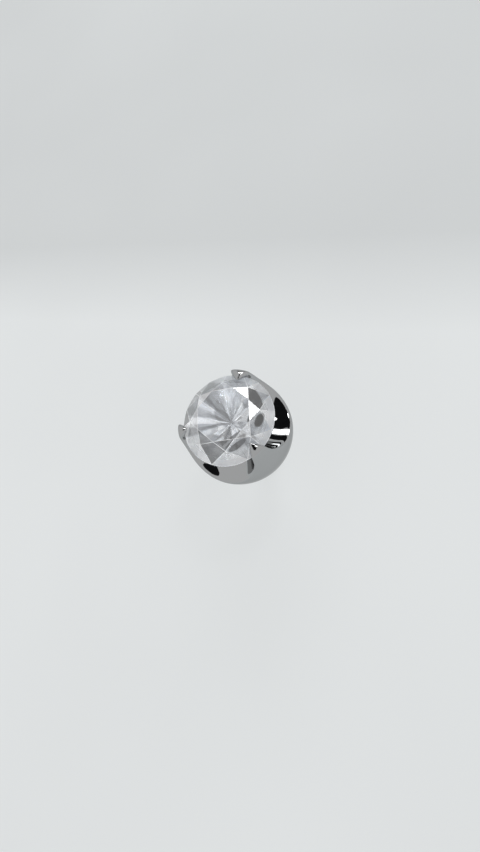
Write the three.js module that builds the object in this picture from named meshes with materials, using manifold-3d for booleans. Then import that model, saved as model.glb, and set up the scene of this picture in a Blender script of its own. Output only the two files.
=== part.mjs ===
// Labret stud: a ball-shaped claw cup with a round brilliant, on a plain post with a flat back.
// Millimetres, +Z up. The stud stands on its back disc: the origin is the middle of the disc's
// underside, and the post, the ball and the stone share the Z axis.
import * as THREE from 'three';
import { mergeVertices } from 'three/addons/utils/BufferGeometryUtils.js';
import Module from 'manifold-3d';

const wasm = await Module();
wasm.setup();

// ---- driving dimensions ----

const FIT_GAP = 0.05; // clearance between pieces that seat in each other

// flat back and post
const BACK_RADIUS = 1.5;
const BACK_THICKNESS = 0.4;
const BACK_EDGE_ROUNDING = 0.15; // on the front edge only; the underside is flat to its rim
const POST_RADIUS = 0.6;
const WEARABLE_LENGTH = 4; // back disc to the underside of the ball
const PIN_DEPTH = 2.2; // how far the post enters the ball
const HOLE_EXTRA_DEPTH = 0.1;

// ball-shaped cup
const BALL_RADIUS = 4.73;
const LAND_RADIUS = 1.6; // flat round the post hole
const CLAW_HEAD_RADIUS = 0.66; // how a claw rounds over from its outer side to its top
const CLAW_HEAD_DISTANCE = 3.79; // from the axis to the middle of that rounding
const CLAW_HEAD_RISE = 0.17; // and its height over the stone's girdle
const CLAW_TOP_RISE = THREE.MathUtils.degToRad(20); // a claw's top rises towards the axis
const CLAW_NOSE_RADIUS = 0.2; // its rounded inner end
const CLAW_REACH = 3.19; // distance of that end from the axis

// scallops between the three claws: half an ellipsoid below the girdle, which spreads above it, so
// that the claws come to rounded points
const SCALLOPS = [ // azimuth in degrees from +X; spread is how much wider it is at the top
  { azimuth: 91.5, halfWidth: 3.4, spread: 0.3 },
  { azimuth: 207.5, halfWidth: 3.76, spread: 0.1 },
  { azimuth: 329.5, halfWidth: 3.76, spread: 0.1 },
];
const SCALLOP_DEPTH = 4.04; // inwards from the ball's radius
const SCALLOP_DROP = 3.19; // below the girdle
const SCALLOP_RISE = 0.96; // above the girdle, where it has spread
const SCALLOP_CLEARANCE = 0.1; // straight up from there, past the claws' tops

// round brilliant
const GIRDLE_RADIUS = 4;
const GIRDLE_THICKNESS = 0.18;
const GIRDLE_HEIGHT = 2.96; // top of the girdle over the ball's middle
const TABLE_RADIUS = 2.4; // to the corners of the table
const CROWN_HEIGHT = 1.22;
const STAR_POINT_RADIUS = 3.036; // lower points of the star facets
const PAVILION_ANGLE = THREE.MathUtils.degToRad(26.5); // a shallow stone
const PAVILION_TURN = THREE.MathUtils.degToRad(5.6); // against the crown's facets
const LOWER_FACET_RADIUS = 0.4; // inner ends of the lower girdle facets
const FACET_PHASE = 28.65; // degrees from +Y to the first table corner
const MAIN_FACETS = 8;

// worked out from them
const BALL_LAND_DROP = Math.sqrt(BALL_RADIUS ** 2 - LAND_RADIUS ** 2);
const BALL_MIDDLE = BACK_THICKNESS + WEARABLE_LENGTH + BALL_LAND_DROP;
const GIRDLE_TOP = BALL_MIDDLE + GIRDLE_HEIGHT;
const GIRDLE_BOTTOM = GIRDLE_TOP - GIRDLE_THICKNESS;
const FACET_STEP = (2 * Math.PI) / MAIN_FACETS;
// the straight outer side of a claw touches both the ball and the rounding of its head
const HEAD_OVER_MIDDLE = GIRDLE_HEIGHT + CLAW_HEAD_RISE;
const WALL_LEAN = Math.atan2(HEAD_OVER_MIDDLE, CLAW_HEAD_DISTANCE)
  - Math.acos((BALL_RADIUS - CLAW_HEAD_RADIUS) / Math.hypot(HEAD_OVER_MIDDLE, CLAW_HEAD_DISTANCE));

// sides of what is round
const CUP_STEPS = 64;
const POST_STEPS = 48;
const SCALLOP_STEPS = 56;
const STONE_STEPS = 96;

// ---- finishes ----

function polishedSteel() {
  return new THREE.MeshStandardMaterial({ color: 0xd5d7d8, roughness: 0.05, metalness: 1 });
}

function clearStone() {
  return new THREE.MeshStandardMaterial({ color: 0xf2f5f8, roughness: 0, metalness: 0 });
}

// ---- helpers ----

function lathe(profile, steps) {
  const points = profile.map(([radius, height]) => new THREE.Vector2(radius, height));
  return new THREE.LatheGeometry(points, steps).rotateX(Math.PI / 2);
}

// points on a circle in the profile plane; angles in radians from the outward radius, upwards
function arc(middleRadius, middleHeight, radius, from, to, steps) {
  return Array.from({ length: steps + 1 }, (_, i) => {
    const angle = from + ((to - from) * i) / steps;
    return [middleRadius + radius * Math.cos(angle), middleHeight + radius * Math.sin(angle)];
  });
}

function solidOf(geometry) {
  const bare = geometry.clone();
  bare.deleteAttribute('normal');
  bare.deleteAttribute('uv');
  const merged = mergeVertices(bare, 1e-5);
  return new wasm.Manifold(new wasm.Mesh({
    numProp: 3,
    vertProperties: new Float32Array(merged.attributes.position.array),
    triVerts: new Uint32Array(merged.index.array),
  }));
}

function geometryOf(solid) {
  const { vertProperties, triVerts } = solid.getMesh();
  const geometry = new THREE.BufferGeometry();
  geometry.setAttribute('position', new THREE.BufferAttribute(vertProperties, 3));
  geometry.setIndex(new THREE.BufferAttribute(triVerts, 1));
  geometry.computeVertexNormals();
  return geometry;
}

function piece(name, geometry, material) {
  const mesh = new THREE.Mesh(geometry, material);
  mesh.name = name;
  return mesh;
}

// ---- post with its flat back, one plain piece ----

function postWithBack() {
  const shoulder = BACK_RADIUS - BACK_EDGE_ROUNDING;
  const edge = arc(shoulder, BACK_THICKNESS - BACK_EDGE_ROUNDING, BACK_EDGE_ROUNDING, 0, Math.PI / 2, 4);
  const tip = BACK_THICKNESS + WEARABLE_LENGTH + PIN_DEPTH;
  return lathe([
    [0, 0],
    [BACK_RADIUS, 0],
    ...edge,
    [POST_RADIUS, BACK_THICKNESS],
    [POST_RADIUS, tip - FIT_GAP],
    [POST_RADIUS - FIT_GAP, tip],
    [0, tip],
  ], POST_STEPS);
}

// ---- claw cup ----

// ball below, nearly straight wall above it, rounded over at the top to a nose on the stone's crown
function cupBlank() {
  const landAngle = -Math.acos(LAND_RADIUS / BALL_RADIUS);
  const headHeight = GIRDLE_TOP + CLAW_HEAD_RISE;
  const over = Math.PI / 2 - CLAW_TOP_RISE;
  const noseDistance = CLAW_REACH + CLAW_NOSE_RADIUS;
  const radiusDrop = CLAW_HEAD_RADIUS - CLAW_NOSE_RADIUS;
  const topLength = (CLAW_HEAD_DISTANCE + radiusDrop * Math.cos(over) - noseDistance) / Math.sin(over);
  const noseHeight = headHeight + radiusDrop * Math.sin(over) + topLength * Math.cos(over);
  return lathe([
    [0, BALL_MIDDLE - BALL_LAND_DROP],
    ...arc(0, BALL_MIDDLE, BALL_RADIUS, landAngle, WALL_LEAN, 13),
    ...arc(CLAW_HEAD_DISTANCE, headHeight, CLAW_HEAD_RADIUS, WALL_LEAN, over, 7),
    ...arc(noseDistance, noseHeight, CLAW_NOSE_RADIUS, over, Math.PI, 4),
    [0, BALL_MIDDLE],
  ], CUP_STEPS);
}

// the turned seat under the stone: a cone a little wider than the pavilion, and the girdle's width
function pavilionSeat() {
  const outer = GIRDLE_RADIUS + FIT_GAP;
  const apexDepth = outer * Math.tan(PAVILION_ANGLE); // under the girdle
  return lathe([
    [0, GIRDLE_BOTTOM - apexDepth],
    [outer, GIRDLE_BOTTOM],
    [outer, GIRDLE_TOP],
    [0, GIRDLE_TOP],
  ], CUP_STEPS);
}

function scallop({ azimuth, halfWidth, spread }) {
  const rise = SCALLOP_RISE / SCALLOP_DROP;
  const below = arc(0, 0, 1, -Math.PI / 2, 0, 12);
  const above = arc(1, 0, 1, Math.PI, Math.PI / 2, 6).map(([x, y]) => [1 + spread * x, rise * y]);
  const top = rise + SCALLOP_CLEARANCE / SCALLOP_DROP;
  return lathe([...below, ...above.slice(1), [1 + spread, top], [0, top]], SCALLOP_STEPS)
    .scale(SCALLOP_DEPTH, halfWidth, SCALLOP_DROP)
    .translate(BALL_RADIUS, 0, GIRDLE_TOP)
    .rotateZ(THREE.MathUtils.degToRad(azimuth));
}

function postHole() {
  const mouth = BACK_THICKNESS + WEARABLE_LENGTH;
  const outside = mouth - 1;
  const end = mouth + PIN_DEPTH + HOLE_EXTRA_DEPTH;
  const radius = POST_RADIUS + FIT_GAP;
  return lathe([[0, outside], [radius, outside], [radius, end], [0, end]], POST_STEPS);
}

function clawCup() {
  let cup = solidOf(cupBlank()).subtract(solidOf(pavilionSeat())).subtract(brilliant(FIT_GAP));
  cup = cup.subtract(solidOf(postHole()));
  for (const cut of SCALLOPS) cup = cup.subtract(solidOf(scallop(cut)));
  return geometryOf(cup);
}

// ---- round brilliant, ground facet by facet from a round rod ----

// everything on the outer side of the plane that faces the azimuth and is tilted by slope, which is
// the rise for each millimetre towards the axis; at distance from the axis it is at height, and the
// whole plane is then moved out by gap
function lap(azimuth, slope, distance, height, gap) {
  const size = 20;
  return new THREE.BoxGeometry(size, size, size)
    .translate(0, 0, Math.sign(slope) * (size / 2 + gap))
    .rotateY(Math.atan(slope))
    .translate(distance, 0, height)
    .rotateZ(azimuth);
}

// the stone, or with a gap the space that the claws leave for it
function brilliant(gap = 0) {
  const crownSlope = CROWN_HEIGHT / (GIRDLE_RADIUS - TABLE_RADIUS);
  const halfStep = FACET_STEP / 2;
  const quarterStep = FACET_STEP / 4;
  const tableEdge = TABLE_RADIUS * Math.cos(halfStep);
  const starPointHeight = (GIRDLE_RADIUS - STAR_POINT_RADIUS * Math.cos(halfStep)) * crownSlope;
  const starSlope = (CROWN_HEIGHT - starPointHeight) / (STAR_POINT_RADIUS - tableEdge);
  const girdleChord = GIRDLE_RADIUS * Math.cos(quarterStep);
  const upperSlope = starPointHeight / (girdleChord - STAR_POINT_RADIUS * Math.cos(quarterStep));
  const pavilionSlope = Math.tan(PAVILION_ANGLE);
  const lowerDepth = (GIRDLE_RADIUS - LOWER_FACET_RADIUS * Math.cos(halfStep)) * pavilionSlope;
  const lowerSlope = lowerDepth / (girdleChord - LOWER_FACET_RADIUS * Math.cos(quarterStep));
  const rodDepth = GIRDLE_RADIUS * pavilionSlope + 0.5; // past the culet

  let stone = solidOf(lathe([
    [0, GIRDLE_BOTTOM - rodDepth],
    [GIRDLE_RADIUS + gap, GIRDLE_BOTTOM - rodDepth],
    [GIRDLE_RADIUS + gap, GIRDLE_TOP + CROWN_HEIGHT + gap],
    [0, GIRDLE_TOP + CROWN_HEIGHT + gap],
  ], STONE_STEPS));
  const grind = (...plane) => {
    stone = stone.subtract(solidOf(lap(...plane, gap)));
  };
  const first = THREE.MathUtils.degToRad(90 + FACET_PHASE);
  for (let i = 0; i < MAIN_FACETS; i++) {
    const main = first + i * FACET_STEP;
    grind(main, crownSlope, GIRDLE_RADIUS, GIRDLE_TOP);
    grind(main + PAVILION_TURN, -pavilionSlope, GIRDLE_RADIUS, GIRDLE_BOTTOM);
    grind(main + halfStep, starSlope, tableEdge, GIRDLE_TOP + CROWN_HEIGHT);
    for (const side of [-quarterStep, quarterStep]) {
      grind(main + side, upperSlope, girdleChord, GIRDLE_TOP);
      grind(main + PAVILION_TURN + side, -lowerSlope, girdleChord, GIRDLE_BOTTOM);
    }
  }
  return stone;
}

// ---- the stud ----

const stud = new THREE.Group();
stud.add(
  piece('post_with_flat_back', postWithBack(), polishedSteel()),
  piece('claw_cup', clawCup(), polishedSteel()),
  piece('round_stone', geometryOf(brilliant()), clearStone()),
);

export default stud;
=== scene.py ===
"""A labret stud on a pale studio floor: polished claw cup, foiled round stone, post with a flat back."""
import math

import bpy
from bpy.props import FloatProperty, FloatVectorProperty, PointerProperty
from mathutils import Matrix, Vector


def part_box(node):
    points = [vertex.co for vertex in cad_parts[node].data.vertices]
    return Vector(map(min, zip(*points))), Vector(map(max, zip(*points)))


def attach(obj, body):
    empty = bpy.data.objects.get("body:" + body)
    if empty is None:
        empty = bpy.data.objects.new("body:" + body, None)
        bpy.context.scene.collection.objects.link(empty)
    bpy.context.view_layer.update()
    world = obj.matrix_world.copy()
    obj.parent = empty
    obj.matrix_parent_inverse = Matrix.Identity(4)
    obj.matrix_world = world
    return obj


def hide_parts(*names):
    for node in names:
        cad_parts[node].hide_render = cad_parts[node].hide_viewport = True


bl_info = {
    "name": "Labret Stud",
    "version": (1, 0, 0),
    "blender": (4, 5, 0),
    "location": "View3D > Sidebar > Labret Stud",
    "description": "Makes a labret stud with a claw-set stone, and a small studio round it",
    "category": "Add Mesh",
}

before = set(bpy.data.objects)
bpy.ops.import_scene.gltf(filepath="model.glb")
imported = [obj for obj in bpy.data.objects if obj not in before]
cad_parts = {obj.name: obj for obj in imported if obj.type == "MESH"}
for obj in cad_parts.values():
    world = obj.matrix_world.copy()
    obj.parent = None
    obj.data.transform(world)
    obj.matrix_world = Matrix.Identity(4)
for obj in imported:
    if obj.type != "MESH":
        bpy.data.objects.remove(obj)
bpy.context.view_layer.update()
MM = 0.001  # pieces are modelled in millimetres and brought to metres when they are finished


def box_mm(node):
    """Lowest and highest corner of a node of the frame, in millimetres."""
    low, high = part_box(node)
    return low / MM, high / MM


CUP_LOW, CUP_HIGH = box_mm("claw_cup")
POST_HIGH = box_mm("post_with_flat_back")[1]
STONE_HIGH = box_mm("round_stone")[1]
BALL_RADIUS = CUP_HIGH.x
LAND_RADIUS = 1.6  # the flat of the ball round the post
BALL_MIDDLE = CUP_LOW.z + math.sqrt(BALL_RADIUS**2 - LAND_RADIUS**2)
GIRDLE_RADIUS = STONE_HIGH.x
CROWN_HEIGHT = 1.22
GIRDLE_TOP = STONE_HIGH.z - CROWN_HEIGHT
GIRDLE_HEIGHT = 0.18
GIRDLE_BOTTOM = GIRDLE_TOP - GIRDLE_HEIGHT
PAVILION_ANGLE = math.radians(26.5)
FIT_GAP = 0.05  # air round the stone and round the post's pin, as in the frame


# ---- what a user would change ----


class CupSizes(bpy.types.PropertyGroup):
    head_radius: FloatProperty(
        name="Head rounding",
        description="How a claw rounds over from its outer side to its top, in mm",
        default=0.66,
    )
    head_distance: FloatProperty(
        name="Head distance", description="From the axis to the middle of that rounding, in mm", default=3.79
    )
    head_rise: FloatProperty(
        name="Head rise", description="Middle of that rounding over the stone's girdle, in mm", default=0.17
    )
    top_rise: FloatProperty(
        name="Top rise",
        description="How a claw's top rises towards the axis",
        default=math.radians(20),
        subtype="ANGLE",
    )
    nose_radius: FloatProperty(name="Nose", description="A claw's rounded inner end, in mm", default=0.2)
    reach: FloatProperty(name="Reach", description="Distance of that end from the axis, in mm", default=3.19)
    scallop_depth: FloatProperty(
        name="Scallop depth", description="Inwards from the ball's side, in mm", default=4.04
    )
    scallop_drop: FloatProperty(
        name="Scallop drop", description="Below the stone's girdle, in mm", default=3.19
    )
    scallop_rise: FloatProperty(name="Scallop rise", description="Above the girdle, in mm", default=0.96)
    fineness: FloatProperty(
        name="Fineness", description="Side of the surface's small squares, in mm", default=0.067
    )


class PostSizes(bpy.types.PropertyGroup):
    post_radius: FloatProperty(name="Post radius", description="In mm", default=0.6)
    back_thickness: FloatProperty(name="Back thickness", description="Of the flat disc, in mm", default=0.4)
    back_rounding: FloatProperty(name="Back rounding", description="Of the disc's edge, in mm", default=0.15)
    root_fillet: FloatProperty(
        name="Root fillet", description="Between the disc and the post, in mm", default=0.08
    )


class SteelLook(bpy.types.PropertyGroup):
    color: FloatVectorProperty(
        name="Steel",
        description="Colour of the polished steel",
        default=(0.43, 0.437, 0.44),
        min=0,
        max=1,
        size=3,
        subtype="COLOR",
    )
    roughness: FloatProperty(
        name="Roughness", description="Of the mirror polish", default=0.03, subtype="FACTOR"
    )


class StoneLook(bpy.types.PropertyGroup):
    color: FloatVectorProperty(
        name="Stone",
        description="Tint of the clear stone",
        default=(0.94, 0.965, 1.0),
        min=0,
        max=1,
        size=3,
        subtype="COLOR",
    )
    ior: FloatProperty(name="Refraction", description="Refractive index of the stone", default=1.5)
    gloss: FloatProperty(
        name="Gloss", description="Index that sets how strongly the facets shine", default=2.0
    )
    # painted light: scales the painted light and shade of the silvery back
    painted_brilliance: FloatProperty(name="Brilliance", description="How light the silvery back looks", default=1.3)
    # painted glow: the foil and the lightest crown facets glow by this, standing in for light the facets
    # send round inside the stone
    painted_glow: FloatProperty(
        name="Glint", description="Light that the facets send round inside the stone", default=0.11
    )
    foil: FloatProperty(
        name="Foil roughness",
        description="Of the silvery back in the stone's middle",
        default=0.1,
        subtype="FACTOR",
    )
    foil_edge: FloatProperty(
        name="Foil roughness at the edge",
        description="Of the silvery back under the girdle",
        default=0.3,
        subtype="FACTOR",
    )
    edge_rounding: FloatProperty(
        name="Edges", description="Flat on the edges between facets, in mm", default=0.02
    )


class StudioLook(bpy.types.PropertyGroup):
    floor: FloatVectorProperty(
        name="Floor",
        description="Colour of the pale floor",
        default=(0.3, 0.315, 0.318),
        min=0,
        max=1,
        size=3,
        subtype="COLOR",
    )
    glow: FloatProperty(name="Floor glow", description="Light from below through the floor", default=0.525)
    sky: FloatProperty(name="Sky", description="Brightness of the light from all round", default=0.75)
    key: FloatProperty(name="Key light", description="Brightness of the soft box over the stone", default=9)
    strip: FloatProperty(
        name="Strip light", description="Brightness of the long soft box beyond it", default=6
    )


# ---- ways of working ----


def deselect():
    bpy.ops.object.select_all(action="DESELECT")


def pick(piece):
    deselect()
    piece.select_set(True)
    bpy.context.view_layer.objects.active = piece


def arc(middle, radius, start, end, steps):
    """Points on a circle in the plane of radius and height, from one angle to another."""
    angles = [start + (end - start) * i / steps for i in range(steps + 1)]
    return [(middle[0] + radius * math.cos(a), middle[1] + radius * math.sin(a)) for a in angles]


def turned(name, profile, steps):
    """A turned piece: one point is drawn along the profile, which is then spun round the Z axis."""
    deselect()
    bpy.ops.mesh.primitive_plane_add(size=1)
    piece = bpy.context.object
    piece.name = name
    bpy.ops.object.mode_set(mode="EDIT")
    bpy.ops.mesh.merge(type="CENTER")
    bpy.ops.transform.translate(value=(profile[0][0], 0, profile[0][1]))
    for (radius, height), (next_radius, next_height) in zip(profile, profile[1:]):
        step = (next_radius - radius, 0, next_height - height)
        bpy.ops.mesh.extrude_vertices_move(TRANSFORM_OT_translate={"value": step})
    bpy.ops.mesh.select_all(action="SELECT")
    bpy.ops.mesh.spin(steps=steps, angle=math.tau, center=(0, 0, 0), axis=(0, 0, 1))
    bpy.ops.mesh.select_all(action="SELECT")
    bpy.ops.mesh.remove_doubles(threshold=1e-4)
    bpy.ops.mesh.normals_make_consistent(inside=False)
    bpy.ops.object.mode_set(mode="OBJECT")
    return piece


def apply_modifier(piece, kind, **settings):
    modifier = piece.modifiers.new(kind.lower(), kind)
    for key, value in settings.items():
        setattr(modifier, key, value)
    pick(piece)
    bpy.ops.object.modifier_apply(modifier=modifier.name)


def cut(piece, cutter):
    apply_modifier(piece, "BOOLEAN", operation="DIFFERENCE", solver="EXACT", object=cutter)
    bpy.data.objects.remove(cutter)


def to_metres(piece):
    pick(piece)
    bpy.ops.transform.resize(value=(MM, MM, MM), center_override=(0, 0, 0))
    bpy.ops.object.transform_apply(location=True, rotation=True, scale=True)


def hand_over(piece, node, material):
    """A finished piece takes the place of its node in the frame."""
    if not piece.data.polygons:
        raise RuntimeError(f"{piece.name} came out empty")
    piece.data.materials.clear()
    piece.data.materials.append(material)
    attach(piece, "root")
    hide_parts(node)


# ---- materials ----


def new_material(name):
    material = bpy.data.materials.new(name)
    material.use_nodes = True
    return material, material.node_tree.nodes, material.node_tree.links


def polished_steel(name, look):
    """Mirror-polished steel: hardly any roughness, and that drifts a little over the surface."""
    material, nodes, links = new_material(name)
    shader = nodes["Principled BSDF"]
    shader.inputs["Base Color"].default_value = (*look.color, 1)
    shader.inputs["Metallic"].default_value = 1
    shader.inputs["Specular Tint"].default_value = (0.72, 0.72, 0.72, 1)  # the ball's rim stays grey
    place = nodes.new("ShaderNodeTexCoord")
    cloud = nodes.new("ShaderNodeTexNoise")
    cloud.inputs["Scale"].default_value = 0.6 / MM
    cloud.inputs["Detail"].default_value = 3
    links.new(place.outputs["Object"], cloud.inputs["Vector"])
    drift = nodes.new("ShaderNodeMapRange")
    drift.inputs["To Min"].default_value = look.roughness * 0.6
    drift.inputs["To Max"].default_value = look.roughness * 1.6
    links.new(cloud.outputs["Fac"], drift.inputs["Value"])
    links.new(drift.outputs["Result"], shader.inputs["Roughness"])
    return material


# Painted light and shade on the foil round the stone, standing in for the light and dark that the stone's
# back returns, as (degrees from +X, painted_lightness).
PAINTED_STREAKS = (
    (0, 0.6), (6, 0.5), (12, 0.86), (30, 0.7), (48, 0.55), (56, 0.8), (64, 0.6), (70, 0.33),
    (92, 0.3), (98, 0.72), (106, 0.76), (114, 0.45), (126, 0.4), (129, 1.3), (138, 1.3), (141, 0.45),
    (154, 0.35), (158, 0.85), (176, 0.8), (184, 0.6), (198, 0.85), (222, 0.7), (232, 0.85), (246, 0.94),
    (280, 0.62), (288, 0.85), (306, 0.65), (318, 0.95), (340, 0.95), (346, 0.5),
)  # fmt: skip
RAY_SCALE = 5  # fine painted rays of light and shade on the foil: more is finer
RAY_DRIFT = 0.15  # how much they change outwards, for each mm
RAY_STRENGTH = (2, 0.3)  # in the stone's middle and near its girdle
RAY_FADE = (2 * MM, 2.8 * MM)  # from the axis, where they go from one to the other
FOIL_FADE = (2.2 * MM, 3.2 * MM)  # the same for the foil's roughness
# Painted shade on the foil: dark spots where the stone shows shade through its crown, as (middle, half
# sizes, painted_lightness), in mm.
PAINTED_SHADE_SPOTS = (
    ((1.55, -1.45), (0.6, 0.5), 0.03),
    ((-0.8, -1.5), (0.9, 0.4), 0.2),
    ((-0.2, 0.7), (0.5, 1.0), 0.5),
)
PAINTED_SHADE_FADE = (0.75, 1.3)  # squares of how far out a painted shade spot begins to fade and is gone
PAINTED_RIM_EDGE = (3.25 * MM, 3.35 * MM)  # painted light: past this from the axis, no crown facet on the +X side is dark
GROUND_ROUGHNESS = 0.25  # of the girdle


class Sums:
    """Arithmetic nodes of one material."""

    def __init__(self, nodes, links):
        self.nodes, self.links = nodes, links

    def put(self, value, socket):
        if isinstance(value, (int, float)):
            socket.default_value = value
        else:
            self.links.new(value, socket)

    def math(self, operation, *values):
        node = self.nodes.new("ShaderNodeMath")
        node.operation = operation
        for value, socket in zip(values, node.inputs):
            self.put(value, socket)
        return node.outputs["Value"]

    def range(self, value, low, high, at_low, at_high):
        node = self.nodes.new("ShaderNodeMapRange")
        for new, socket in zip((value, low, high, at_low, at_high), node.inputs):
            self.put(new, socket)
        return node.outputs["Result"]

    def squares(self, x, y):
        return self.math("ADD", self.math("MULTIPLY", x, x), self.math("MULTIPLY", y, y))

    def tinted(self, color, painted_lightness):
        node = self.nodes.new("ShaderNodeVectorMath")
        node.operation = "SCALE"
        node.inputs[0].default_value = color
        self.put(painted_lightness, node.inputs["Scale"])
        return node.outputs["Vector"]


def painted_streaks(sums, x, y):
    """Painted light and shade of the foil, by direction round the axis."""
    angle = sums.math("DIVIDE", sums.math("ARCTAN2", y, x), 2 * math.pi)
    ramp = sums.nodes.new("ShaderNodeValToRGB")
    sums.put(sums.math("FRACT", sums.math("ADD", angle, 1)), ramp.inputs["Fac"])
    stops = ramp.color_ramp.elements
    stops[0].color = (*[PAINTED_STREAKS[0][1]] * 3, 1)
    stops[1].color = (*[PAINTED_STREAKS[0][1]] * 3, 1)
    for degrees, painted_lightness in PAINTED_STREAKS[1:]:
        stops.new(degrees / 360).color = (*[painted_lightness] * 3, 1)
    return ramp.outputs["Color"]


def fine_painted_streaks(sums, x, y, distance):
    """Fine painted rays of light and shade from the axis."""
    direction = sums.nodes.new("ShaderNodeCombineXYZ")
    sums.put(sums.math("DIVIDE", x, distance), direction.inputs["X"])
    sums.put(sums.math("DIVIDE", y, distance), direction.inputs["Y"])
    sums.put(sums.math("MULTIPLY", distance, RAY_DRIFT / MM), direction.inputs["Z"])
    rays = sums.nodes.new("ShaderNodeTexNoise")
    rays.inputs["Scale"].default_value = RAY_SCALE
    rays.inputs["Detail"].default_value = 3
    sums.put(direction.outputs["Vector"], rays.inputs["Vector"])
    strength = sums.range(distance, *RAY_FADE, *RAY_STRENGTH)
    return sums.math("MULTIPLY_ADD", sums.math("SUBTRACT", rays.outputs["Fac"], 0.5), strength, 1)


# One painted shade spot: the foil is darkened round a middle.
def painted_shade_spot(sums, x, y, middle, size, painted_lightness):
    away_x = sums.math("DIVIDE", sums.math("SUBTRACT", x, middle[0] * MM), size[0] * MM)
    away_y = sums.math("DIVIDE", sums.math("SUBTRACT", y, middle[1] * MM), size[1] * MM)
    away = sums.squares(away_x, away_y)
    return sums.range(away, *PAINTED_SHADE_FADE, painted_lightness, 1)


def foil(sums, look, x, y, distance):
    """Silvery back of the stone, with painted rays of light and shade, painted shade spots and a painted
    glow.
    """
    painted_lightness = sums.math("MULTIPLY", painted_streaks(sums, x, y), fine_painted_streaks(sums, x, y, distance))
    for middle, size, dark in PAINTED_SHADE_SPOTS:
        painted_lightness = sums.math("MULTIPLY", painted_lightness, painted_shade_spot(sums, x, y, middle, size, dark))
    painted_lightness = sums.math("MULTIPLY", painted_lightness, look.painted_brilliance)
    shader = sums.nodes.new("ShaderNodeBsdfPrincipled")
    shader.inputs["Metallic"].default_value = 1
    color = sums.tinted(look.color, painted_lightness)
    sums.put(color, shader.inputs["Base Color"])
    # Painted glow: the foil glows in its own painted colour.
    sums.put(color, shader.inputs["Emission Color"])
    shader.inputs["Emission Strength"].default_value = look.painted_glow
    roughness = sums.range(distance, *FOIL_FADE, look.foil, look.foil_edge)
    sums.put(roughness, shader.inputs["Roughness"])
    return shader


def foiled_stone(look):
    """Clear cut crystal: polished facets, each with its own painted light or shade, over a silvery back."""
    material, nodes, links = new_material("foiled crystal")
    sums = Sums(nodes, links)
    front = nodes["Principled BSDF"]
    front.inputs["Transmission Weight"].default_value = 1
    front.inputs["IOR"].default_value = look.ior
    front.inputs["Coat Weight"].default_value = 1
    front.inputs["Coat IOR"].default_value = look.gloss
    front.inputs["Coat Roughness"].default_value = 0
    # Painted light and shade: each facet's painted lightness tints what passes through it.
    painted_lightness = nodes.new("ShaderNodeAttribute")
    painted_lightness.attribute_name = "painted_lightness"
    place = nodes.new("ShaderNodeTexCoord")
    split = nodes.new("ShaderNodeSeparateXYZ")
    links.new(place.outputs["Object"], split.inputs["Vector"])
    x, y, z = split.outputs
    distance = sums.math("SQRT", sums.squares(x, y))
    # Painted light: the crown's outer rim on the +X side is kept light.
    rim = sums.math("MULTIPLY", sums.range(distance, *PAINTED_RIM_EDGE, 0, 1), sums.math("GREATER_THAN", x, 0))
    painted_lightest = sums.math("MAXIMUM", painted_lightness.outputs["Fac"], rim)
    sums.put(sums.tinted(look.color, painted_lightest), front.inputs["Base Color"])
    # Painted glow: facets painted lighter than full glow by the amount over.
    painted_glint = sums.math("MAXIMUM", sums.math("SUBTRACT", painted_lightness.outputs["Fac"], 1), 0)
    sums.put(sums.math("MULTIPLY", painted_glint, look.painted_glow * 2), front.inputs["Emission Strength"])
    ground = sums.math("COMPARE", z, (GIRDLE_TOP + GIRDLE_BOTTOM) / 2 * MM, (GIRDLE_HEIGHT / 2 - 0.01) * MM)
    sums.put(sums.math("MULTIPLY", ground, GROUND_ROUGHNESS), front.inputs["Roughness"])
    join = nodes.new("ShaderNodeMixShader")
    links.new(sums.math("LESS_THAN", z, GIRDLE_BOTTOM * MM - 1e-6), join.inputs["Fac"])
    links.new(front.outputs["BSDF"], join.inputs[1])
    links.new(foil(sums, look, x, y, distance).outputs["BSDF"], join.inputs[2])
    links.new(join.outputs["Shader"], nodes["Material Output"].inputs["Surface"])
    return material


# ---- pieces ----


def cup_profile(sizes):
    """Ball below, nearly straight wall above it, rounded over at the top to a nose on the stone."""
    head_height = GIRDLE_TOP + sizes.head_rise
    over_middle = head_height - BALL_MIDDLE
    lean = math.atan2(over_middle, sizes.head_distance) - math.acos(
        (BALL_RADIUS - sizes.head_radius) / math.hypot(over_middle, sizes.head_distance)
    )
    land = -math.acos(LAND_RADIUS / BALL_RADIUS)
    over = math.pi / 2 - sizes.top_rise
    nose_distance = sizes.reach + sizes.nose_radius
    drop = sizes.head_radius - sizes.nose_radius
    top_length = (sizes.head_distance + drop * math.cos(over) - nose_distance) / math.sin(over)
    nose_height = head_height + drop * math.sin(over) + top_length * math.cos(over)
    return [
        (0, CUP_LOW.z),
        *arc((0, BALL_MIDDLE), BALL_RADIUS, land, lean, 60),
        *arc((sizes.head_distance, head_height), sizes.head_radius, lean, over, 24),
        *arc((nose_distance, nose_height), sizes.nose_radius, over, math.pi, 12),
        (0, BALL_MIDDLE),
    ]


def pavilion_seat():
    """Cone that the stone's back sits in, and the room for its girdle."""
    outer = GIRDLE_RADIUS + FIT_GAP
    apex = GIRDLE_BOTTOM - outer * math.tan(PAVILION_ANGLE)
    return turned("seat", [(0, apex), (outer, GIRDLE_BOTTOM), (outer, GIRDLE_TOP), (0, GIRDLE_TOP)], 256)


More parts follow.
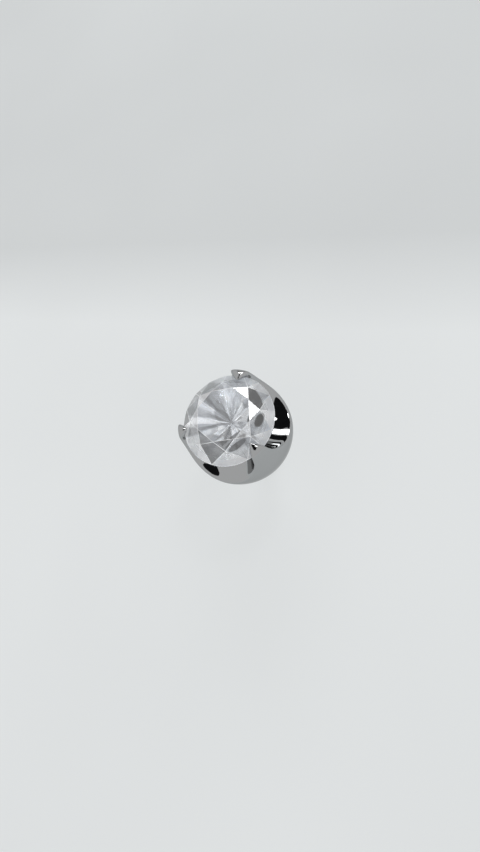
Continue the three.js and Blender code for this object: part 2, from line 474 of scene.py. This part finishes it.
def stone_copy(name):
    """A merged copy of the stone in mm, with one face to each facet."""
    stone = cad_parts["round_stone"]
    copy = stone.copy()
    copy.data = stone.data.copy()
    copy.name = name
    copy.parent = None
    bpy.context.scene.collection.objects.link(copy)
    pick(copy)
    bpy.ops.transform.resize(value=(1 / MM, 1 / MM, 1 / MM), center_override=(0, 0, 0))
    bpy.ops.object.transform_apply(location=True, rotation=True, scale=True)
    bpy.ops.object.mode_set(mode="EDIT")
    bpy.ops.mesh.select_all(action="SELECT")
    bpy.ops.mesh.remove_doubles(threshold=1e-4)
    bpy.ops.mesh.dissolve_limited(angle_limit=math.radians(0.5))
    bpy.ops.object.mode_set(mode="OBJECT")
    return copy


def stone_space():
    """The stone itself, a hair larger: what the claws leave free over its crown."""
    space = stone_copy("stone space")
    bpy.ops.object.mode_set(mode="EDIT")
    bpy.ops.mesh.select_all(action="SELECT")
    bpy.ops.transform.shrink_fatten(value=0.02, use_even_offset=True)
    bpy.ops.object.mode_set(mode="OBJECT")
    return space


def scallop(sizes, azimuth, half_width, spread):
    """A round cutter that scoops one side of the ball out between two claws."""
    rise = sizes.scallop_rise / sizes.scallop_drop
    below = arc((0, 0), 1, -math.pi / 2, 0, 48)
    above = [(1 + spread * x, rise * y) for x, y in arc((1, 0), 1, math.pi, math.pi / 2, 16)]
    top = rise + SCALLOP_CLEARANCE / sizes.scallop_drop
    cutter = turned("scallop", [*below, *above[1:], (1 + spread, top), (0, top)], 192)
    pick(cutter)
    cutter.scale = (sizes.scallop_depth, half_width, sizes.scallop_drop)
    cutter.location = (BALL_RADIUS, 0, GIRDLE_TOP)
    bpy.ops.object.transform_apply(location=True, rotation=True, scale=True)
    cutter.rotation_euler = (0, 0, math.radians(azimuth))
    bpy.ops.object.transform_apply(location=True, rotation=True, scale=True)
    return cutter


CUP_RUBBING = 70  # rounds of smoothing all over the cup
CLAW_RUBBING = 80  # and further ones on the claws
CLAW_START = 0.5  # the claws' rubbing begins this far below the girdle's top, in mm
CLAW_FADE = 0.6  # and is full this much higher


def round_claws(cup):
    """The claws are rubbed over more than the rest of the cup."""
    group = cup.vertex_groups.new(name="claws")
    for vertex in cup.data.vertices:
        weight = (vertex.co.z - GIRDLE_TOP + CLAW_START) / CLAW_FADE
        if weight > 0:
            group.add([vertex.index], min(weight, 1), "REPLACE")
    apply_modifier(cup, "SMOOTH", factor=0.5, iterations=CLAW_RUBBING, vertex_group=group.name)
    cup.vertex_groups.clear()


def post_hole(sizes):
    """The blind hole for the post's pin, which starts well outside the ball."""
    radius = sizes.post_radius + FIT_GAP
    mouth = CUP_LOW.z - 1
    end = POST_HIGH.z + 0.1
    return turned("post hole", [(0, mouth), (radius, mouth), (radius, end), (0, end)], 128)


SCALLOP_CLEARANCE = 0.1  # the scallop cutters go straight up this far past their rise, in mm
SCALLOPS = (
    # azimuth in degrees, half width in mm, how much wider at the top as a share of its size
    (91.5, 3.4, 0.3),
    (207.5, 3.76, 0.1),
    (329.5, 3.76, 0.1),
)


class LABRET_OT_claw_cup(bpy.types.Operator):
    """Make the ball-shaped cup with its three claws"""

    bl_idname = "labret.claw_cup"
    bl_label = "Claw Cup"

    def execute(self, context):
        scene = context.scene
        sizes = scene.labret_cup
        cup = turned("claw_cup_polished", cup_profile(sizes), 256)
        cut(cup, pavilion_seat())
        cut(cup, stone_space())
        cut(cup, post_hole(scene.labret_post))
        for azimuth, half_width, spread in SCALLOPS:
            cut(cup, scallop(sizes, azimuth, half_width, spread))
        apply_modifier(cup, "REMESH", mode="VOXEL", voxel_size=sizes.fineness, use_smooth_shade=True)
        apply_modifier(cup, "SMOOTH", factor=0.5, iterations=CUP_RUBBING)
        round_claws(cup)
        to_metres(cup)
        hand_over(
            cup,
            "claw_cup",
            polished_steel("polished steel of the cup", scene.labret_steel),
        )
        return {"FINISHED"}


FOOT_ROUNDING = 0.04  # of the disc's lower edge, in mm
TIP_ROUNDING = 0.05  # of the pin's end, in mm


class LABRET_OT_post(bpy.types.Operator):
    """Make the post with its flat back"""

    bl_idname = "labret.post"
    bl_label = "Post and Flat Back"

    def execute(self, context):
        scene = context.scene
        sizes = scene.labret_post
        back = POST_HIGH.x
        rounding = sizes.back_rounding
        fillet = sizes.root_fillet
        top = sizes.back_thickness
        foot = FOOT_ROUNDING
        tip = TIP_ROUNDING
        profile = [
            (0, 0),
            *arc((back - foot, foot), foot, -math.pi / 2, 0, 6),
            *arc((back - rounding, top - rounding), rounding, 0, math.pi / 2, 12),
            *arc((sizes.post_radius + fillet, top + fillet), fillet, -math.pi / 2, -math.pi, 8),
            *arc((sizes.post_radius - tip, POST_HIGH.z - tip), tip, 0, math.pi / 2, 4),
            (0, POST_HIGH.z),
        ]
        post = turned("post_polished", profile, 192)
        pick(post)
        bpy.ops.object.shade_smooth_by_angle(angle=math.radians(40))
        to_metres(post)
        hand_over(
            post,
            "post_with_flat_back",
            polished_steel("polished steel of the post", scene.labret_steel),
        )
        return {"FINISHED"}


# Painted light and shade of the crown's facets, standing in for what they reflect, each kind in order round
# the stone from the first after +X.
STARS = (1, 1, 2.1, 1.5, 0.2, 0.12, 2.2, 0.7)
MAINS = (0.55, 0.85, 0.3, 1.15, 0.1, 0.65, 0.6, 0.01)
UPPERS = (0.4, 0.4, 0.9, 0.02, 0.1, 0.02, 2.3, 1.5, 2, 1.45, 1.4, 0.9, 1.3, 1.6, 0.8, 1.55)
FIRST_STAR = 6.15  # in degrees from +X, as are the next two
FIRST_MAIN = 28.65
FIRST_UPPER = 17.4
STAR_SLOPE = 32  # stars lie flatter than this, in degrees
MAIN_SLOPE = 39  # mains lie flatter than this, and uppers are steeper
# painted highlight on the rounded edges between facets
PAINTED_EDGE_HIGHLIGHT = 2.4
EDGE_AREA = 0.3  # a face of less than this many square mm is a rounded edge


def painted_facet_light(facet):
    """Painted light of a facet: the crown's facets differ in painted light and shade, and the edges between
    them get a painted highlight.
    """
    slope = math.degrees(math.acos(max(-1, min(1, facet.normal.z))))
    if slope < 1 or slope > 80:
        return 1
    if facet.area < EDGE_AREA:
        return PAINTED_EDGE_HIGHLIGHT
    azimuth = math.degrees(math.atan2(facet.normal.y, facet.normal.x))
    if slope < STAR_SLOPE:
        kind, first = STARS, FIRST_STAR
    elif slope < MAIN_SLOPE:
        kind, first = MAINS, FIRST_MAIN
    else:
        kind, first = UPPERS, FIRST_UPPER
    return kind[round((azimuth - first) * len(kind) / 360) % len(kind)]


class LABRET_OT_stone(bpy.types.Operator):
    """Make the round stone with finely rounded edges"""

    bl_idname = "labret.stone"
    bl_label = "Round Stone"

    def execute(self, context):
        look = context.scene.labret_stone
        stone = stone_copy("stone")
        apply_modifier(
            stone,
            "BEVEL",
            width=look.edge_rounding,
            segments=1,
            limit_method="NONE",
            use_clamp_overlap=False,
        )
        # Each facet gets its painted light or shade.
        painted_lightness = stone.data.attributes.new("painted_lightness", "FLOAT", "FACE")
        for facet, value in zip(stone.data.polygons, painted_lightness.data):
            value.value = painted_facet_light(facet)
        to_metres(stone)
        hand_over(stone, "round_stone", foiled_stone(look))
        return {"FINISHED"}


class LABRET_OT_studio(bpy.types.Operator):
    """Make the floor, the light and the camera"""

    bl_idname = "labret.studio"
    bl_label = "Studio"

    def execute(self, context):
        scene = context.scene
        look = scene.labret_studio
        make_floor(look)
        make_sky(scene, look)
        soft_box("key light", *KEY_BOX, look.key)
        soft_box("strip light", *STRIP_BOX, look.strip)
        dark_card("card_over", CARD_OVER)
        dark_card("card_under", CARD_UNDER)
        make_camera(scene)
        scene.view_settings.view_transform = "Standard"
        return {"FINISHED"}


# ---- studio ----

LIGHT_DISTANCE = 0.15  # from the ball to the soft boxes
KEY_BOX = (8, 57, 25 * MM, 25 * MM)  # azimuth and elevation in degrees, width and height
STRIP_BOX = (46, 31, 70 * MM, 34 * MM)
CARD_DISTANCE = 0.2
# Corners of the dark cards, as (azimuth, elevation) in degrees.
CARD_OVER = (
    (44, 39), (60, 44), (70, 60), (150, 74), (200, 70),
    (262, 56), (300, 66), (345, 66), (10, 44), (28, 39),
)  # fmt: skip
CARD_UNDER = ((28, 3), (28, 20), (62, 20), (62, 3))
SHADE_DIRECTION = 36.1  # painted shade: the floor's glow is a little darker on this side, in degrees from +X
SHADE_EDGE = (15 * MM, 27 * MM)  # where it begins and is full, from the middle
SHADE_DEPTH = 0.135
PATCH_DEPTH = 0.06  # soft unevenness of the glow all over


def make_floor(look):
    """A pale floor that glows a little, as a light table does, with a painted shade on its far side and soft
    random patches in its glow.
    """
    deselect()
    bpy.ops.mesh.primitive_circle_add(vertices=128, radius=0.3, fill_type="NGON")
    floor = bpy.context.object
    floor.name = "floor"
    material, nodes, links = new_material("pale floor")
    sums = Sums(nodes, links)
    shader = nodes["Principled BSDF"]
    shader.inputs["Base Color"].default_value = (*look.floor, 1)
    shader.inputs["Roughness"].default_value = 0.5
    shader.inputs["Specular IOR Level"].default_value = 0
    shader.inputs["Emission Color"].default_value = (0.975, 0.995, 1, 1)
    place = nodes.new("ShaderNodeTexCoord")
    along = nodes.new("ShaderNodeVectorMath")
    along.operation = "DOT_PRODUCT"
    along.inputs[1].default_value = towards(SHADE_DIRECTION, 0)
    links.new(place.outputs["Object"], along.inputs[0])
    cloud = nodes.new("ShaderNodeTexNoise")
    cloud.inputs["Scale"].default_value = 0.03 / MM
    links.new(place.outputs["Object"], cloud.inputs["Vector"])
    # Painted shade: the glow drops towards the far side.
    glow = sums.range(along.outputs["Value"], *SHADE_EDGE, look.glow, look.glow - SHADE_DEPTH)
    patchy = sums.math("MULTIPLY", sums.math("SUBTRACT", cloud.outputs["Fac"], 0.5), PATCH_DEPTH)
    sums.put(sums.math("ADD", glow, patchy), shader.inputs["Emission Strength"])
    floor.data.materials.append(material)


def make_sky(scene, look):
    world = bpy.data.worlds.new("soft light")
    world.use_nodes = True
    background = world.node_tree.nodes["Background"]
    background.inputs["Strength"].default_value = look.sky
    background.inputs["Color"].default_value = (1, 1, 1, 1)
    scene.world = world


def towards(azimuth, elevation):
    azimuth, elevation = math.radians(azimuth), math.radians(elevation)
    flat = math.cos(elevation)
    return Vector((flat * math.cos(azimuth), flat * math.sin(azimuth), math.sin(elevation)))


def soft_box(name, azimuth, elevation, width, height, brightness):
    """A soft light that faces the ball from a direction, in degrees from +X and above the floor."""
    data = bpy.data.lights.new(name, "AREA")
    data.shape = "RECTANGLE"
    data.size, data.size_y = width, height
    data.energy = brightness * math.pi * width * height
    light = bpy.data.objects.new(name, data)
    direction = towards(azimuth, elevation)
    place = Vector((0, 0, BALL_MIDDLE * MM)) + direction * LIGHT_DISTANCE
    light.matrix_world = Matrix.Translation(place) @ direction.to_track_quat("Z", "Y").to_matrix().to_4x4()
    light.visible_camera = False
    bpy.context.scene.collection.objects.link(light)


def dark_card(name, outline):
    """A dark card off to one side, which gives the polish something dark to show."""
    middle = Vector((0, 0, BALL_MIDDLE * MM))
    corners = [middle + towards(*corner) * CARD_DISTANCE for corner in outline]
    mesh = bpy.data.meshes.new(name)
    mesh.from_pydata(corners, [], [tuple(range(len(corners)))])
    card = bpy.data.objects.new(name, mesh)
    bpy.context.scene.collection.objects.link(card)
    material, nodes, links = new_material("dark card")
    shader = nodes["Principled BSDF"]
    shader.inputs["Base Color"].default_value = (0.012, 0.012, 0.013, 1)
    shader.inputs["Roughness"].default_value = 0.9
    shader.inputs["Specular IOR Level"].default_value = 0.1
    card.data.materials.append(material)
    card.visible_camera = False


CAMERA_TILT = math.radians(26.9)  # away from looking straight down
CAMERA_ROLL = math.radians(-44.8)
CAMERA_OFFSET = Vector((0.0616, 0.4047, 45.81))  # from the ball's middle: right, up and back, in mm
CAMERA_LENS = 22


def make_camera(scene):
    turn = Matrix.Rotation(CAMERA_TILT, 4, "X") @ Matrix.Rotation(CAMERA_ROLL, 4, "Z")
    data = bpy.data.cameras.new("camera")
    data.lens = CAMERA_LENS
    data.sensor_width = 36
    data.clip_start = MM
    data.clip_end = 2
    camera = bpy.data.objects.new("camera", data)
    place = Vector((0, 0, BALL_MIDDLE)) + turn @ CAMERA_OFFSET
    camera.matrix_world = Matrix.Translation(place * MM) @ turn
    scene.collection.objects.link(camera)
    scene.camera = camera


class LABRET_PT_panel(bpy.types.Panel):
    bl_label = "Labret Stud"
    bl_idname = "LABRET_PT_panel"
    bl_space_type = "VIEW_3D"
    bl_region_type = "UI"
    bl_category = "Labret Stud"

    def draw(self, context):
        scene = context.scene
        for operator in OPERATORS:
            self.layout.operator(operator.bl_idname)
        for settings in SETTINGS:
            box = self.layout.box()
            group = getattr(scene, settings)
            for key in group.__annotations__:
                box.prop(group, key)


OPERATORS = (LABRET_OT_claw_cup, LABRET_OT_post, LABRET_OT_stone, LABRET_OT_studio)
SETTINGS = {
    "labret_cup": CupSizes,
    "labret_post": PostSizes,
    "labret_steel": SteelLook,
    "labret_stone": StoneLook,
    "labret_studio": StudioLook,
}
CLASSES = (*SETTINGS.values(), *OPERATORS, LABRET_PT_panel)


def register():
    for cls in CLASSES:
        bpy.utils.register_class(cls)
    for key, group in SETTINGS.items():
        setattr(bpy.types.Scene, key, PointerProperty(type=group))


def unregister():
    for key in SETTINGS:
        delattr(bpy.types.Scene, key)
    for cls in reversed(CLASSES):
        bpy.utils.unregister_class(cls)


def main():
    register()
    bpy.ops.labret.claw_cup()
    bpy.ops.labret.post()
    bpy.ops.labret.stone()
    bpy.ops.labret.studio()


if __name__ == "__main__":
    main()
